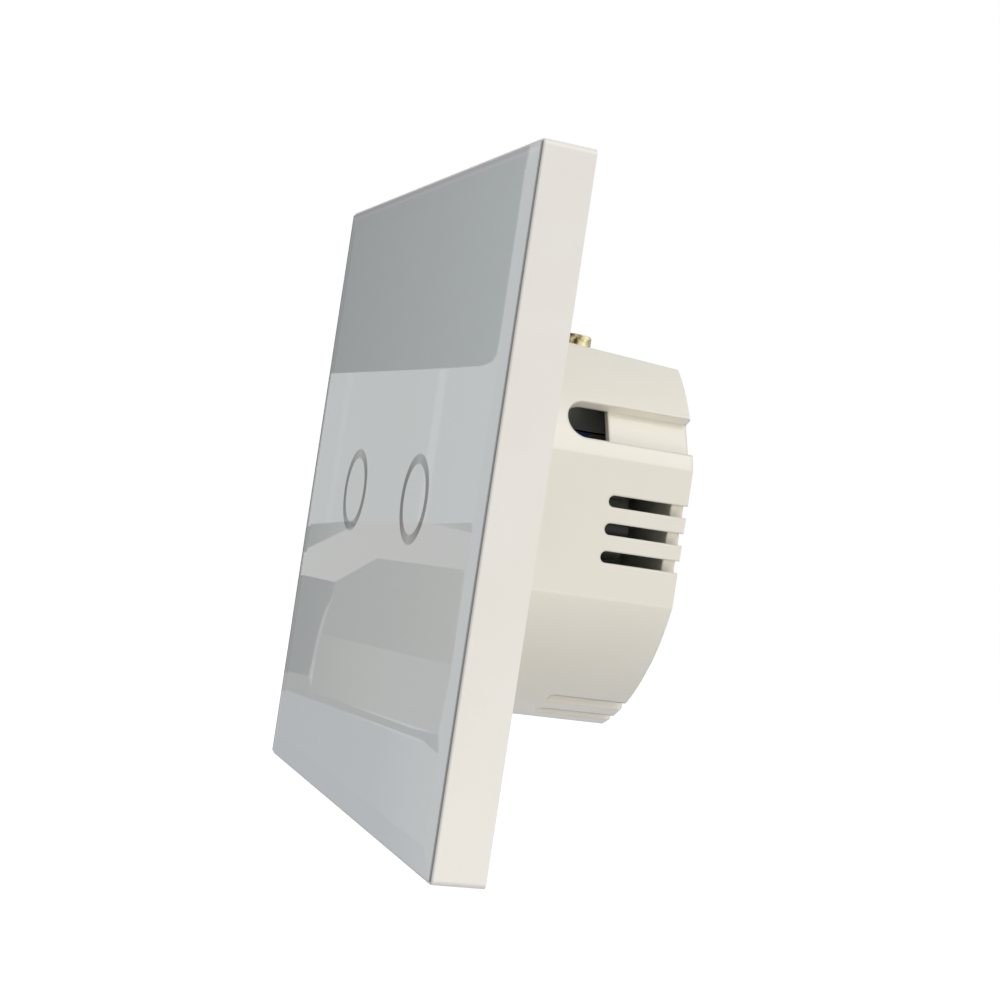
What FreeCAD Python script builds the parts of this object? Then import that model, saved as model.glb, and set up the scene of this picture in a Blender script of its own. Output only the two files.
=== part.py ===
import FreeCAD, Part
import os
import re

import Sketcher

# Touch light switch for a round wall box, in millimetres.
# X runs across the front, Z points up and Y points into the wall.
# The origin is the middle of the wall plane, behind the front frame.

SIZES = [
    ("panel_size", 86.0, "side of the square front"),
    ("corner_radius", 0.8, "corners of the front frame"),
    ("rim_width", 0.35, "rim of the frame beside the glass"),
    ("rim_gap", 0.1, "gap between rim and glass"),
    ("rim_drop", 0.3, "rim behind the front of the glass"),
    ("rim_round", 0.25, "rounding of the frame's front edge"),
    ("frame_wall", 2.0, "side wall of the frame behind the glass"),
    ("glass_thickness", 3.0, "glass"),
    ("bevel_width", 3.2, "shallow polished border of the glass"),
    ("bevel_drop", 0.12, "how far the border falls away"),
    ("paint_thickness", 0.1, "coat on the back of the glass"),
    ("tape_thickness", 0.2, "tape under the glass"),
    ("tape_width", 8.0, "width of the tape ring"),
    ("web_thickness", 1.2, "web of the frame that carries the glass"),
    ("panel_gap", 0.2, "between the frame's web and the flange"),
    ("flange_thickness", 1.2, "square flange of the housing"),
    ("bracket_thickness", 1.0, "steel bracket"),
    ("flange_clearance", 0.3, "between flange and frame wall"),
    ("bracket_inset", 3.7, "bracket's edge inside the flange's edge"),
    ("plate_radius", 1.5, "corners of flange and bracket"),
    ("clip_width", 8.0, "clip tongue of the frame"),
    ("clip_thickness", 1.2, "clip tongue"),
    ("clip_inset", 2.2, "clip's outer face inside the frame's wall"),
    ("clip_clearance", 0.3, "round a clip in its slot"),
    ("pry_width", 8.0, "pry notch under the frame"),
    ("pry_height", 1.2, "pry notch"),
    ("ring_spacing", 30.0, "between the two ring marks"),
    ("ring_outer", 6.0, "outer radius of a ring mark"),
    ("ring_inner", 4.8, "inner radius of a ring mark"),
    ("ring_clearance", 0.5, "round a light guide in the web"),
    ("light_gap", 0.1, "between a light guide or spring and the coat"),
    ("housing_depth", 25.5, "wall plane to the housing's back"),
    ("housing_radius", 28.4, "round sides of the housing"),
    ("side_inset", 1.4, "side flats inside the round"),
    ("top_inset", 6.3, "top flat inside the round, at the back"),
    ("top_rise", 1.8, "top flat at the wall plane above its back end"),
    ("bottom_inset", 2.1, "bottom flat inside the round"),
    ("housing_wall", 1.6, "side wall of the housing"),
    ("back_wall", 1.7, "back wall of the housing"),
    ("back_round", 0.35, "rounding of the back edge"),
    ("opening_clearance", 0.2, "round the housing in the bracket"),
    ("channel_angle", 27.8, "channels above the side flats, in degrees"),
    ("channel_inset", 1.68, "channel's floor inside the round"),
    ("channel_width", 5.2, "channel"),
    ("channel_start", 8.1, "front end of the channel from the wall plane"),
    ("channel_hole", 6.3, "length of the hole at the channel's front"),
    ("channel_skin", 1.0, "wall left under the channel's floor"),
    ("vent_height", 1.5, "each vent slot"),
    ("vent_start", 14.5, "front end of the vents from the wall plane"),
    ("side_vent_pitch", 3.53, "between side vents"),
    ("bottom_vent_pitch", 3.3, "between bottom vents"),
    ("box_screw_spacing", 60.3, "wall box screws"),
    ("box_screw_radius", 2.0, "holes for the wall box screws"),
    ("box_head_radius", 3.6, "openings for their heads in the flange"),
    ("rivet_spacing", 64.0, "rivets in bracket and flange"),
    ("rivet_radius", 1.5, "rivet shank"),
    ("rivet_head", 2.5, "rivet head"),
    ("rivet_sink", 0.8, "depth of a rivet's head in the bracket"),
    ("rivet_clearance", 0.05, "round a rivet"),
    ("board_thickness", 1.6, "both circuit boards"),
    ("board_clearance", 0.3, "between a board and the housing"),
    ("board_recess", 0.3, "touch board behind the flange's front"),
    ("spacer_length", 5.3, "between the boards"),
    ("spacer_radius", 2.2, "board spacer"),
    ("post_radius", 2.4, "posts in the housing"),
    ("upper_post_inset", 7.9, "upper posts inside the round, across"),
    ("upper_post_height", 6.9, "upper posts above the axis"),
    ("lower_post_inset", 11.4, "lower posts inside the round, across"),
    ("lower_post_lift", 11.8, "lower posts inside the round, upwards"),
    ("screw_radius", 1.0, "board screws"),
    ("screw_clearance", 0.05, "round a board screw"),
    ("screw_head", 1.9, "head radius of a board screw"),
    ("screw_head_height", 1.0, "head of a board screw"),
    ("screw_bite", 6.0, "board screw's depth in a post"),
    ("spring_radius", 2.7, "touch spring, to the middle of its wire"),
    ("spring_wire", 0.2, "radius of its wire"),
    ("spring_turns", 3.0, "turns of a touch spring"),
    ("led_length", 1.6, "indicator light"),
    ("led_width", 1.0, "indicator light"),
    ("led_height", 0.6, "indicator light"),
    ("led_gap", 0.15, "between an indicator light and the ring"),
    ("chip_width", 5.0, "touch chip"),
    ("chip_height", 1.1, "touch chip"),
    ("chip_x", -10.0, "touch chip from the axis"),
    ("radio_width", 16.0, "radio board"),
    ("radio_length", 24.0, "radio board"),
    ("radio_thickness", 0.8, "radio board"),
    ("radio_x", 7.5, "radio board from the axis"),
    ("shield_width", 12.0, "radio shield"),
    ("shield_length", 15.0, "radio shield"),
    ("shield_height", 1.9, "radio shield"),
    ("plug_width", 11.0, "plug between the boards"),
    ("plug_depth", 2.6, "plug between the boards"),
    ("plug_drop", 20.0, "plug below the axis"),
    ("pin_size", 0.6, "square pin"),
    ("pin_pitch", 2.0, "between pins"),
    ("pin_clearance", 0.1, "round a pin in the socket"),
    ("terminal_pitch", 8.0, "between terminals"),
    ("cage_width", 6.6, "terminal cage"),
    ("cage_length", 10.0, "terminal cage along the wire"),
    ("cage_wall", 1.0, "floor and sides of a cage"),
    ("cage_roof", 1.6, "threaded roof of a cage"),
    ("cage_setback", 0.3, "cage behind the power board"),
    ("block_margin", 0.7, "block beside the outer cages"),
    ("block_floor", 0.5, "block under the cages"),
    ("block_roof", 1.0, "block over the cages"),
    ("clamp_travel", 2.9, "how far the terminal screws are backed out"),
    ("clamp_thickness", 0.8, "clamp plate"),
    ("clamp_length", 7.0, "clamp plate along the wire"),
    ("clamp_clearance", 0.1, "over and under a clamp plate"),
    ("clamp_side", 0.1, "beside a clamp plate"),
    ("terminal_thread", 1.75, "terminal screw's thread radius"),
    ("thread_clearance", 0.05, "round thread and spigot"),
    ("spigot_radius", 1.0, "screw's end riveted in the clamp plate"),
    ("terminal_head", 2.7, "head radius of a terminal screw"),
    ("terminal_head_height", 2.4, "head of a terminal screw"),
    ("terminal_edge", 0.25, "bevel round the top of the head"),
    ("terminal_neck", 0.35, "bevel under the head"),
    ("head_clearance", 0.2, "round and under a tightened head"),
    ("slot_width", 0.9, "slot and cross in the head"),
    ("slot_depth", 1.2, "slot and cross in the head"),
    ("wire_hole_radius", 2.1, "wire hole in the back wall"),
    ("wire_tunnel_radius", 2.3, "wire tunnel in the block"),
    ("relay_width", 15.3, "relay across"),
    ("relay_height", 19.1, "relay up"),
    ("relay_depth", 15.5, "relay from the board"),
    ("relay_gap", 0.8, "between the relays"),
    ("relay_wall", 0.9, "relay case"),
    ("relay_drop", 0.2, "relay below the terminal block"),
    ("relay_base_height", 1.6, "relay base"),
    ("relay_fit", 0.05, "base inside the case"),
    ("yoke_thickness", 1.0, "yoke plates"),
    ("yoke_width", 9.0, "yoke plates"),
    ("core_radius", 1.8, "core through the coil"),
    ("core_drop", 1.0, "core below the relay's middle"),
    ("core_height", 9.0, "core above the yoke's foot"),
    ("foot_overhang", 2.0, "yoke's foot beyond the core"),
    ("coil_inner", 2.0, "coil's bore"),
    ("coil_outer", 4.4, "coil's outside"),
    ("coil_length", 8.4, "coil"),
    ("coil_lift", 0.2, "coil above the yoke's foot"),
    ("leg_offset", 5.2, "yoke's leg from the core's axis"),
    ("leg_height", 9.4, "yoke's leg above its foot"),
    ("armature_thickness", 1.0, "armature"),
    ("armature_lift", 0.1, "armature over the leg"),
    ("armature_reach", 3.6, "armature beyond the core's axis"),
    ("contact_reach", 6.4, "contact strip beyond the core's axis"),
    ("contact_offset", 5.5, "contact from the core's axis"),
    ("contact_radius", 0.7, "moving contact"),
    ("contact_gap", 0.65, "open contacts"),
    ("strip_thickness", 0.3, "contact strip"),
    ("strip_width", 3.2, "contact strip"),
    ("fixed_width", 2.4, "fixed contact"),
    ("fixed_thickness", 1.2, "fixed contact"),
    ("contact_drop", 0.6, "moving contact below the armature"),
    ("main_capacitor_radius", 4.0, "mains capacitor"),
    ("main_capacitor_length", 12.5, "mains capacitor"),
    ("capacitor_inset", 7.9, "capacitors inside the round, across"),
    ("output_capacitor_radius", 3.15, "low voltage capacitor"),
    ("output_capacitor_length", 11.0, "low voltage capacitor"),
    ("capacitor_groove", 0.3, "groove round a capacitor's can"),
    ("groove_foot", 0.9, "capacitor below its groove"),
    ("core_across", 13.0, "transformer core"),
    ("core_up", 10.0, "transformer core"),
    ("core_depth", 10.2, "transformer core"),
    ("core_window", 2.6, "windows of the transformer core"),
    ("core_side", 1.9, "outer legs of the transformer core"),
    ("core_end", 1.8, "yokes of the transformer core"),
    ("core_x", 6.8, "transformer from the axis"),
    ("core_z", -14.0, "transformer from the axis"),
    ("winding_gap", 0.15, "round the transformer's winding"),
    ("winding_bulge", 1.4, "winding above and below the core"),
    ("film_width", 12.0, "film capacitor"),
    ("film_height", 5.2, "film capacitor"),
    ("film_depth", 10.0, "film capacitor"),
    ("film_x", -7.0, "film capacitor from the axis"),
    ("film_z", -11.4, "film capacitor from the axis"),
    ("fuse_radius", 1.6, "fuse resistor"),
    ("fuse_length", 9.0, "fuse resistor"),
    ("fuse_z", -16.6, "fuse resistor from the axis"),
    ("fuse_foot", 0.8, "lead wires of fuse and varistor"),
    ("varistor_radius", 3.6, "varistor disc"),
    ("varistor_thickness", 3.2, "varistor disc"),
    ("varistor_z", -20.9, "varistor from the axis"),
    ("lead_radius", 0.35, "lead wires"),
    ("lead_bite", 0.5, "lead wires inside their part"),
    ("rectifier_width", 4.7, "bridge rectifier"),
    ("rectifier_length", 3.9, "bridge rectifier"),
    ("rectifier_height", 1.5, "bridge rectifier and power chip"),
    ("power_chip_width", 5.0, "power chip"),
    ("rectifier_z", -10.6, "bridge rectifier and power chip from the axis"),
]

# Places along Y, worked out from the wall plane forwards and backwards.
FLANGE_FRONT = "-(bracket_thickness + flange_thickness)"
WEB_BACK = "-(bracket_thickness + flange_thickness + panel_gap)"
WEB_FRONT = WEB_BACK + " - web_thickness"
PAINT_BACK = WEB_FRONT + " - tape_thickness"
GLASS_BACK = PAINT_BACK + " - paint_thickness"
GLASS_FRONT = GLASS_BACK + " - glass_thickness"
TOUCH_FRONT = FLANGE_FRONT + " + board_recess"
TOUCH_BACK = TOUCH_FRONT + " + board_thickness"
POWER_FRONT = TOUCH_BACK + " + spacer_length"
POWER_BACK = POWER_FRONT + " + board_thickness"
BACK_INSIDE = "housing_depth - back_wall"

# The housing's flats and the floors of its channels, from the axis.
SIDE_FLAT = "(housing_radius - side_inset)"
TOP_FLAT = "(housing_radius - top_inset)"
TOP_FRONT = "(housing_radius - top_inset + top_rise)"
BOTTOM_FLAT = "(housing_radius - bottom_inset)"
CHANNEL_FLOOR = "(housing_radius - channel_inset)"

# Terminals, from the inside of the housing's top wall, or of its round sides
# where those come lower at the ends of the terminal block.
BLOCK_HALF = "(1.5 * terminal_pitch + cage_width / 2 + block_margin)"
ROUND_OVER_BLOCK = "sqrt((housing_radius - housing_wall)^2 - %s^2)" % BLOCK_HALF
SCREW_Y = POWER_BACK + " + cage_setback + cage_length / 2"
BLOCK_TOP = "min(%s - housing_wall; %s) - board_clearance" % (TOP_FLAT, ROUND_OVER_BLOCK)
CAGE_TOP = BLOCK_TOP + " - block_roof"
CAVITY_TOP = CAGE_TOP + " - cage_roof"
CAVITY_FLOOR = CAVITY_TOP + " - clamp_travel - clamp_thickness - 2 * clamp_clearance"
CAGE_BOTTOM = CAVITY_FLOOR + " - cage_wall"
BLOCK_BOTTOM = CAGE_BOTTOM + " - block_floor"
PLATE_TOP = CAVITY_TOP + " - clamp_clearance"
HEAD_BOTTOM = CAGE_TOP + " + head_clearance + clamp_travel"
WIRE_Z = CAVITY_FLOOR + " + (clamp_travel + clamp_clearance) / 2"
SHANK_TOP = "(%s) - (%s) + clamp_thickness" % (HEAD_BOTTOM, PLATE_TOP)

CAPACITOR_X = "(housing_radius - capacitor_inset)"

# The relays hang under the terminal block, one each side of the middle.
RELAY_MIDDLE = BLOCK_BOTTOM + " - relay_drop - relay_height / 2"
RELAY_ACROSS = "(relay_gap + relay_width) / 2"
RELAY_FLOOR = POWER_BACK + " + relay_base_height"
YOKE_TOP = RELAY_FLOOR + " + yoke_thickness"
ARMATURE_BACK = YOKE_TOP + " + leg_height + armature_lift + armature_thickness"
CORE_Z = RELAY_MIDDLE + " - core_drop"

SIDES = [("left", -1), ("right", 1)]
QUARTERS = [(-1, -1), (1, -1), (-1, 1), (1, 1)]
TERMINALS = [-1.5, -0.5, 0.5, 1.5]
BEYOND = "1"

document = FreeCAD.newDocument("touch_switch")
sheet = document.addObject("Spreadsheet::Sheet", "Sizes")
for row, (alias, size, meaning) in enumerate(SIZES, start=1):
    sheet.set("A%d" % row, meaning)
    sheet.set("B%d" % row, str(size))
    sheet.setAlias("B%d" % row, alias)
document.recompute()

ALIASES = {alias for alias, _, _ in SIZES}
NODES = []


def sized(expression):
    """Turn words for sizes into references to the sheet's cells."""
    def reference(found):
        word = found.group()
        return "Sizes." + word if word in ALIASES else word
    return re.sub(r"[a-z][a-z_]*", reference, expression)


def bind(thing, name, expression):
    """Tie one property of an object to an expression of sizes."""
    thing.setExpression(name, sized(expression))


def place(thing, x="0", y="0", z="0"):
    """Tie the position of an object to expressions of sizes."""
    for letter, expression in zip("xyz", (x, y, z)):
        bind(thing, "Placement.Base." + letter, expression)
    return thing


def node(thing, name):
    """Keep an object as a sub-part under its own name."""
    thing.Label = name
    NODES.append(thing)
    return thing


def middle(width, at="0"):
    """Give the two ends of a width that lies centred on a place."""
    return "(%s) - (%s) / 2" % (at, width), "(%s) + (%s) / 2" % (at, width)


def block(name, x, y, z):
    """Make a box between two ends along each axis."""
    thing = document.addObject("Part::Box", name)
    for prop, ends in zip(("Length", "Width", "Height"), (x, y, z)):
        bind(thing, prop, "(%s) - (%s)" % (ends[1], ends[0]))
    return place(thing, x[0], y[0], z[0])


TURNS = {
    "x": FreeCAD.Rotation(FreeCAD.Vector(0, 1, 0), 90),
    "y": FreeCAD.Rotation(FreeCAD.Vector(1, 0, 0), -90),
    "z": FreeCAD.Rotation(),
}


def along(thing, axis, ends, across):
    """Turn a round primitive to an axis and place its first end."""
    spots = list(across)
    spots.insert("xyz".index(axis), ends[0])
    thing.Placement = FreeCAD.Placement(FreeCAD.Vector(), TURNS[axis])
    bind(thing, "Height", "(%s) - (%s)" % (ends[1], ends[0]))
    return place(thing, *spots)


def rod(name, axis, radius, ends, across=("0", "0")):
    """Make a round bar along an axis between two ends."""
    thing = document.addObject("Part::Cylinder", name)
    bind(thing, "Radius", radius)
    return along(thing, axis, ends, across)


def taper(name, axis, first, last, ends, across=("0", "0")):
    """Make a cone frustum along an axis between two ends."""
    thing = document.addObject("Part::Cone", name)
    bind(thing, "Radius1", first)
    bind(thing, "Radius2", last)
    return along(thing, axis, ends, across)


def join(name, parts):
    """Fuse several solids that touch or overlap."""
    thing = document.addObject("Part::MultiFuse", name)
    thing.Shapes = parts
    return thing


def common(name, parts):
    """Keep what several solids share."""
    thing = document.addObject("Part::MultiCommon", name)
    thing.Shapes = parts
    return thing


def cut(name, base, tools):
    """Take one or more solids away from a base."""
    thing = document.addObject("Part::Cut", name)
    thing.Base = base
    thing.Tool = tools[0] if len(tools) == 1 else join(name + "_tools", tools)
    return thing


def group(name, parts):
    """Hold separate solids of one sub-part together."""
    thing = document.addObject("Part::Compound", name)
    thing.Links = parts
    return thing


def soften(name, base, size, wanted):
    """Round the edges of a solid that a test on their box picks."""
    document.recompute()
    radius = sheet.get(size)
    thing = document.addObject("Part::Fillet", name)
    thing.Base = base
    edges = base.Shape.Edges
    thing.Edges = [(i + 1, radius, radius) for i, edge in enumerate(edges) if wanted(edge.BoundBox)]
    return thing


def runs_along_y(box):
    """Tell whether an edge runs front to back."""
    return box.YLength > 0.05 and box.XLength < 1e-4 and box.ZLength < 1e-4


def plate(name, size, y, radius="plate_radius"):
    """Make a square plate with round corners, centred on the axis."""
    return soften(name, block(name + "_blank", middle(size), y, middle(size)), radius, runs_along_y)


def drum(name, y, offset, top=TOP_FLAT):
    """Make the housing's round outline with its four flats, grown by an offset."""
    grown = " + (%s)" % offset
    disc = rod(name + "_disc", "y", "housing_radius" + grown, y)
    flats = block(name + "_flats", ("-%s - (%s)" % (SIDE_FLAT, offset), SIDE_FLAT + grown), y,
                  ("-%s - (%s)" % (BOTTOM_FLAT, offset), top + grown))
    return common(name, [disc, flats])


def origin_plane(body, role):
    """Find one of a body's own origin planes."""
    return [plane for plane in body.Origin.OriginFeatures if plane.Role == role][0]


def outline_sketch(body, name, role, points):
    """Sketch a closed outline whose corners are tied to the sheet."""
    sketch = body.newObject("Sketcher::SketchObject", name)
    sketch.AttachmentSupport = [(origin_plane(body, role), "")]
    sketch.MapMode = "FlatFace"
    count = len(points)
    for i in range(count):
        start = FreeCAD.Vector(i, i * i + 1, 0)
        following = (i + 1) % count
        finish = FreeCAD.Vector(following, following * following + 1, 0)
        sketch.addGeometry(Part.LineSegment(start, finish), False)
    for i in range(count):
        sketch.addConstraint(Sketcher.Constraint("Coincident", i, 2, (i + 1) % count, 1))
    for i, corner in enumerate(points):
        for kind, expression in zip(("DistanceX", "DistanceY"), corner):
            index = sketch.addConstraint(Sketcher.Constraint(kind, -1, 1, i, 1, 1.0))
            sketch.setExpression("Constraints[%d]" % index, sized(expression))
    return sketch


def turned(name, role, points):
    """Revolve an outline, given as radius and height, about its upright axis."""
    body = document.addObject("PartDesign::Body", name)
    sketch = outline_sketch(body, name + "_outline", role, points)
    feature = body.newObject("PartDesign::Revolution", name + "_turning")
    feature.Profile = sketch
    feature.ReferenceAxis = (sketch, ["V_Axis"])
    feature.Angle = 360
    return body


def pad(name, role, points, length):
    """Pad an outline to a length, evenly to both sides of its plane."""
    body = document.addObject("PartDesign::Body", name)
    feature = body.newObject("PartDesign::Pad", name + "_pad")
    feature.Profile = outline_sketch(body, name + "_outline", role, points)
    feature.Midplane = True
    bind(feature, "Length", length)
    return body


# Front panel: glass, coat, ring windows, tape and frame.

GLASS_SIZE = "(panel_size - 2 * rim_width - 2 * rim_gap)"
RING_X = "ring_spacing / 2"


def glass_panel():
    """Glass plate whose front falls away slightly towards all four edges."""
    body = block("glass_blank", middle(GLASS_SIZE), (GLASS_FRONT, GLASS_BACK), middle(GLASS_SIZE))
    half = "(%s) / 2" % GLASS_SIZE
    wedges = []
    for role, letter in (("XY_Plane", "z"), ("YZ_Plane", "x")):
        for side in (-1, 1):
            inner = "%d * (%s - bevel_width)" % (side, half)
            outer = "%d * (%s + bevel_width)" % (side, half)
            front = "(%s)" % GLASS_FRONT
            corners = [(inner, front), (outer, front), (outer, front + " + 2 * bevel_drop")]
            if letter == "x":
                corners = [(depth, up) for up, depth in corners]
            wedges.append(pad("glass_wedge_%s_%d" % (letter, side + 1), role, corners, "2 * panel_size"))
    return node(cut("glass", body, wedges), "glass_panel")


def glass_back_paint():
    """Coat with two ring windows, so each ring holds a loose disc of coat."""
    depth = (GLASS_BACK, PAINT_BACK)
    coat = block("coat_blank", middle(GLASS_SIZE), depth, middle(GLASS_SIZE))
    windows = []
    discs = []
    for side, sign in SIDES:
        across = ("%d * %s" % (sign, RING_X), "0")
        windows.append(rod("coat_window_" + side, "y", "ring_outer", depth, across))
        discs.append(rod("coat_disc_" + side, "y", "ring_inner", depth, across))
    return node(group("coat", [cut("coat_sheet", coat, windows)] + discs), "glass_back_paint")


def tube(name, axis, outer, inner, ends, across=("0", "0")):
    """Make a round tube along an axis."""
    bore = rod(name + "_bore", axis, inner, ends, across)
    return cut(name + "_tube", rod(name + "_rod", axis, outer, ends, across), [bore])


def ring_window(side, sign):
    """Translucent print that fills one ring window of the coat."""
    ring = tube("ring_" + side, "y", "ring_outer", "ring_inner", (GLASS_BACK, PAINT_BACK),
                ("%d * %s" % (sign, RING_X), "0"))
    return node(ring, "ring_window_" + side)


def glass_tape():
    """Square ring of double-sided tape under the glass."""
    depth = (PAINT_BACK, WEB_FRONT)
    inside = GLASS_SIZE + " - 2 * tape_width"
    outer = block("tape_outer", middle(GLASS_SIZE), depth, middle(GLASS_SIZE))
    inner = block("tape_inner", middle(inside), depth, middle(inside))
    return node(cut("tape", outer, [inner]), "glass_tape")


def clip_span(sign, grown="0"):
    """Ends of a clip tongue, measured out from the axis on one side."""
    outer = "panel_size / 2 - frame_wall - clip_inset + (%s)" % grown
    inner = "panel_size / 2 - frame_wall - clip_inset - clip_thickness - (%s)" % grown
    ends = ("%d * (%s)" % (sign, inner), "%d * (%s)" % (sign, outer))
    return ends if sign > 0 else (ends[1], ends[0])


def clips(name, y, grown="0"):
    """Four clip tongues, or the slots that they enter."""
    width = middle("clip_width + 2 * (%s)" % grown)
    parts = []
    for sign in (-1, 1):
        span = clip_span(sign, grown)
        parts.append(block("%s_side_%d" % (name, sign + 1), span, y, width))
        parts.append(block("%s_level_%d" % (name, sign + 1), width, y, span))
    return parts


def bezel_frame():
    """Frame with a thin rim below the glass's front, a web behind it and four clip tongues."""
    blank = plate("frame_blank", "panel_size", (GLASS_FRONT + " + rim_drop", "0"), "corner_radius")
    glass = sheet.get("glass_thickness")
    outer = soften("frame_rounded", blank, "rim_round", lambda box: box.YMax < -glass)
    pocket_size = "panel_size - 2 * rim_width"
    pocket = block("frame_pocket", middle(pocket_size), (GLASS_FRONT + " - 1", WEB_FRONT),
                   middle(pocket_size))
    hollow_size = "panel_size - 2 * frame_wall"
    hollow = block("frame_hollow", middle(hollow_size), (WEB_BACK, BEYOND), middle(hollow_size))
    notch = block("frame_notch", middle("pry_width"), ("-pry_height", BEYOND),
                  ("-panel_size / 2 - 1", "-panel_size / 2 + frame_wall + 1"))
    windows = [rod("frame_window_" + side, "y", "ring_outer + ring_clearance", (WEB_FRONT + " - 1", "0"),
                   ("%d * %s" % (sign, RING_X), "0")) for side, sign in SIDES]
    reliefs = board_holes("frame_relief", "screw_head + ring_clearance", (WEB_FRONT + " - 1", "0"))
    shell = cut("frame_shell", outer, [pocket, hollow, notch] + windows + reliefs)
    tongues = clips("frame_clip", (WEB_BACK, "-panel_gap"))
    return node(join("frame", [shell] + tongues), "bezel_frame")


# Housing with its flange, the steel bracket and the rivets.

FLANGE_SIZE = "(panel_size - 2 * frame_wall - 2 * flange_clearance)"


def board_holes(name, radius, y):
    """Round bars at the four places where posts, spacers and screws stand."""
    bars = []
    for side, sign in SIDES:
        upper = ("%d * (housing_radius - upper_post_inset)" % sign, "upper_post_height")
        lower = ("%d * (housing_radius - lower_post_inset)" % sign, "lower_post_lift - housing_radius")
        bars.append(rod("%s_upper_%s" % (name, side), "y", radius, y, upper))
        bars.append(rod("%s_lower_%s" % (name, side), "y", radius, y, lower))
    return bars


def wall_screws(name, radius, y):
    """Round bars at the four places for wall box screws."""
    bars = []
    for sign in (-1, 1):
        out = "%d * box_screw_spacing / 2" % sign
        bars.append(rod("%s_side_%d" % (name, sign + 1), "y", radius, y, (out, "0")))
        bars.append(rod("%s_level_%d" % (name, sign + 1), "y", radius, y, ("0", out)))
    return bars


def rivet_places():
    """Places of the rivets, near the corners of the bracket."""
    half = "rivet_spacing / 2"
    return [("%d * %s" % (a, half), "%d * %s" % (b, half)) for a, b in QUARTERS]


def vents():
    """Bars that cross the housing's wall at the sides and at the bottom."""
    y = ("vent_start + vent_height / 2", "housing_depth + 1")
    ends = middle("2 * panel_size")
    bars = []
    for k in (-1, 0, 1):
        up = "%d * side_vent_pitch" % k
        bars.append(block("vent_side_%d" % (k + 1), ends, y, middle("vent_height", up)))
        bars.append(rod("vent_side_end_%d" % (k + 1), "x", "vent_height / 2", ends, (y[0], up)))
    below = ("-panel_size", "-housing_radius / 2")
    for k in range(-5, 6):
        across = "%d * bottom_vent_pitch" % k
        bars.append(block("vent_low_%d" % (k + 5), middle("vent_height", across), y, below))
        bars.append(rod("vent_low_end_%d" % (k + 5), "z", "vent_height / 2", below, (across, y[0])))
    wall = cut("vent_wall", drum("vent_outer", ("0", "housing_depth + 1"), "1"),
               [drum("vent_inner", ("-1", "housing_depth + 2"), "-housing_wall")])
    return common("vents", [join("vent_bars", bars), wall])


def tilted(name, thing):
    """Turn a tool that was made along X up to the channel's direction."""
    angle = sheet.get("channel_angle")
    thing.Placement = FreeCAD.Placement(FreeCAD.Vector(), FreeCAD.Rotation(FreeCAD.Vector(0, -1, 0), angle))
    bind(thing, "Placement.Rotation.Angle", "channel_angle")
    mirror = document.addObject("Part::Mirroring", name + "_mirror")
    mirror.Source = thing
    mirror.Normal = FreeCAD.Vector(1, 0, 0)
    return [thing, mirror]


def channel_tool(name, inner, rear):
    """Round-ended slot along Y, cut from an inner distance outwards."""
    outwards = (inner, "housing_radius + 2")
    start = "channel_start + channel_width / 2"
    bar = block(name + "_bar", outwards, (start, rear), middle("channel_width"))
    end = rod(name + "_end", "x", "channel_width / 2", outwards, (start, "0"))
    return tilted(name, join(name, [bar, end]))


def housing_flange():
    """Square plate that the bracket is riveted to, joined to the cup's front edge."""
    blank = plate("flange", FLANGE_SIZE, (FLANGE_FRONT, "-bracket_thickness"))
    through = (FLANGE_FRONT + " - 1", "0")
    cuts = [drum("flange_opening", through, "-housing_wall")]
    cuts += clips("flange_slot", through, "clip_clearance")
    cuts += wall_screws("flange_screw", "box_head_radius", through)
    for i, across in enumerate(rivet_places()):
        cuts.append(rod("flange_rivet_%d" % i, "y", "rivet_radius + rivet_clearance", through, across))
    return node(cut("flange_cut", blank, cuts), "housing_flange")


def top_slope():
    """Wedge over the housing's top flat, which comes down towards the back."""
    rise = "%s + top_rise * (1 - (%s) / housing_depth)"
    near = "-bracket_thickness - 1"
    far = "housing_depth + 1"
    over = TOP_FRONT + " + 2"
    corners = [(near, rise % (TOP_FLAT, near)), (far, rise % (TOP_FLAT, far)), (far, over), (near, over)]
    return pad("top_wedge", "YZ_Plane", corners, "2 * panel_size")


def rear_housing():
    """Round cup with four flats, posts, vents and channels, moulded in one piece."""
    full = drum("cup_outer", ("-bracket_thickness", "housing_depth"), "0", TOP_FRONT)
    blank = cut("cup_sloped", full, [top_slope()])
    rear = sheet.get("housing_depth")
    cup = soften("cup_rounded", blank, "back_round", lambda box: box.YMin > rear - 1e-3)
    hollow = drum("cup_inner", ("-bracket_thickness - 1", BACK_INSIDE), "-housing_wall")
    shell = cut("cup_shell", cup, [hollow])
    posts = board_holes("post", "post_radius", (POWER_BACK, BACK_INSIDE))
    skin = block("channel_rib", (CHANNEL_FLOOR + " - channel_skin", CHANNEL_FLOOR + " + 0.5"),
                 ("channel_start + channel_hole", BACK_INSIDE + " + 0.5"),
                 middle("channel_width + 2 * channel_skin"))
    body = join("cup_body", [shell] + posts + tilted("channel_rib", group("channel_ribs", [skin])))
    cuts = [vents()]
    cuts += channel_tool("channel", CHANNEL_FLOOR, "housing_depth + 1")
    cuts += channel_tool("channel_window", CHANNEL_FLOOR + " - housing_wall",
                         "channel_start + channel_hole")
    cuts += board_holes("post_bore", "screw_radius + screw_clearance",
                        (POWER_BACK + " - 1", POWER_BACK + " + screw_bite + 0.5"))
    for i, k in enumerate(TERMINALS):
        x = "%g * terminal_pitch" % k
        cuts.append(rod("head_hole_%d" % i, "z", "terminal_head + head_clearance",
                        (TOP_FLAT + " / 2", TOP_FRONT + " + 1"), (x, SCREW_Y)))
        cuts.append(rod("wire_hole_%d" % i, "y", "wire_hole_radius",
                        (BACK_INSIDE + " - 1", "housing_depth + 1"), (x, WIRE_Z)))
    return node(cut("housing", body, cuts), "rear_housing")


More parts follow.
